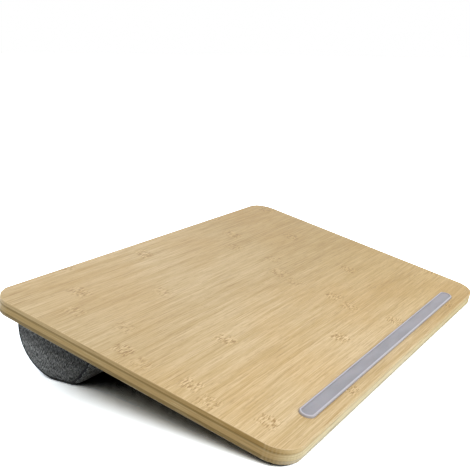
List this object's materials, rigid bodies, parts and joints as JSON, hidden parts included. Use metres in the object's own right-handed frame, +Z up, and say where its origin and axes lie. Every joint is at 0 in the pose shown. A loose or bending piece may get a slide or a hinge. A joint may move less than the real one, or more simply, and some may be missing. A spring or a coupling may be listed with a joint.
{
  "type": "lap desk on a bolster cushion",
  "caption": "Bamboo laptop board with rounded corners and an anti-slip strip, tilted by a zipped fabric bolster cushion under its back edge.",
  "frame": {"origin": "on the floor, under the middle of the object's bounding box", "axes": "+X to the sitter's right along the board's width, +Y from the sitter to the back, +Z up; the board leans 14.12 degrees, rising towards +Y"},
  "size_m": [0.42, 0.2706, 0.0769],
  "materials": {
    "bamboo_face": "satin",
    "bamboo_core": "satin",
    "strip_elastomer": "matte",
    "adhesive_film": "matte",
    "hook_tape": "matte",
    "loop_tape": "matte",
    "foam": "matte",
    "cover_fabric": "matte",
    "piping_fabric": "matte",
    "zip_tape": "matte",
    "zip_teeth": "satin",
    "zip_metal": "satin"
  },
  "bodies": {
    "lap_desk": {"board_top_ply": "bamboo_face", "board_core_ply": "bamboo_core", "board_bottom_ply": "bamboo_face", "anti_slip_strip": "strip_elastomer", "strip_adhesive": "adhesive_film", "hook_tape_front": "hook_tape", "hook_tape_back": "hook_tape", "loop_tape_front": "loop_tape", "loop_tape_back": "loop_tape", "cushion_foam": "foam", "cover_body_panel": "cover_fabric", "cover_top_panel": "cover_fabric", "cover_end_left": "cover_fabric", "cover_end_right": "cover_fabric", "piping_left": "piping_fabric", "piping_right": "piping_fabric", "zip_tape_upper": "zip_tape", "zip_tape_lower": "zip_tape", "zip_teeth_upper": "zip_teeth", "zip_teeth_lower": "zip_teeth", "zip_stop_left": "zip_metal", "zip_stop_right": "zip_metal"},
    "slider": {"zip_slider": "zip_metal"},
    "pull": {"zip_pull": "zip_metal"}
  },
  "joints": [
    {"name": "zip_slide", "type": "slide", "parent": "lap_desk", "child": "slider", "axis": [-1, 0, 0], "range_m": [0, 0.3044]},
    {"name": "pull_hinge", "type": "hinge", "parent": "slider", "child": "pull", "pos_m": [0.1522, 0.13327, 0.04938], "axis": [0, 0.2439, -0.9698], "range_deg": [0, 170]}
  ]
}
